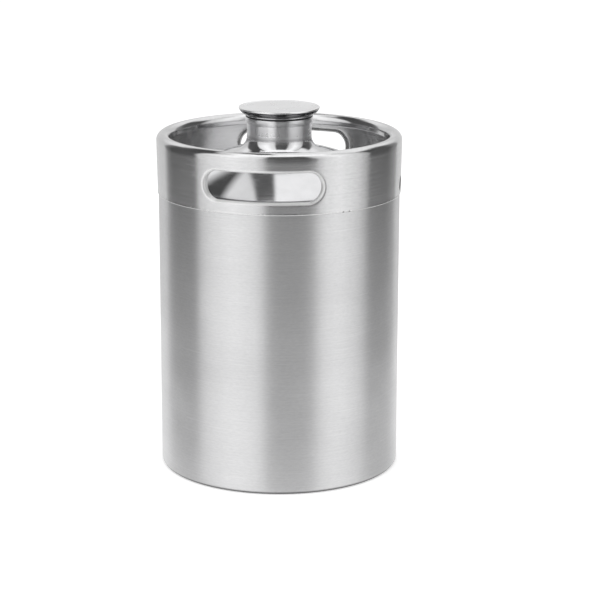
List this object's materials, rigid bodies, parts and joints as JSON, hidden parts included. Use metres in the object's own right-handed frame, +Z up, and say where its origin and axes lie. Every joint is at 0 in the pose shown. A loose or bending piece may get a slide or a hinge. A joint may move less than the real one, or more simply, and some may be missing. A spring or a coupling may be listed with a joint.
{
  "type": "mini keg",
  "caption": "Small stainless steel drinks keg with a carrying collar, hand slots and a screw cap with a flat mushroom-shaped knob.",
  "frame": {"origin": "centre of the foot ring, on the ground", "axes": "+Z up along the keg's axis; the hand slots face -Y and +Y, the drain holes -X and +X"},
  "size_m": [0.1778, 0.1778, 0.265],
  "materials": {
    "satin_steel": "satin, brushed round the keg",
    "weld_steel": "ground weld",
    "polished_steel": "polished",
    "knob_steel": "fine satin face",
    "seal_rubber": "matte"
  },
  "bodies": {
    "keg": {"barrel_wall": "satin_steel", "bottom_head": "satin_steel", "base_weld": "weld_steel", "top_head": "polished_steel", "collar_weld": "weld_steel", "carrying_collar": "satin_steel", "neck_weld": "weld_steel", "neck_ferrule": "polished_steel"},
    "seal": {"cap_gasket": "seal_rubber"},
    "cap": {"cap_plug": "polished_steel", "cap_skirt": "polished_steel", "cap_knob": "knob_steel"}
  },
  "joints": [
    {"name": "cap_rise", "type": "slide", "parent": "keg", "child": "seal", "axis": [0, 0, 1], "range_m": [0, 0.0181]},
    {"name": "cap_turn", "type": "hinge", "parent": "seal", "child": "cap", "pos_m": [0, 0, 0.259], "axis": [0, 0, 1], "range_deg": [0, 1620]}
  ],
  "couplings": [
    {"joint": "cap_rise", "follows": "cap_turn", "m_per_rad": 0.00063662}
  ]
}
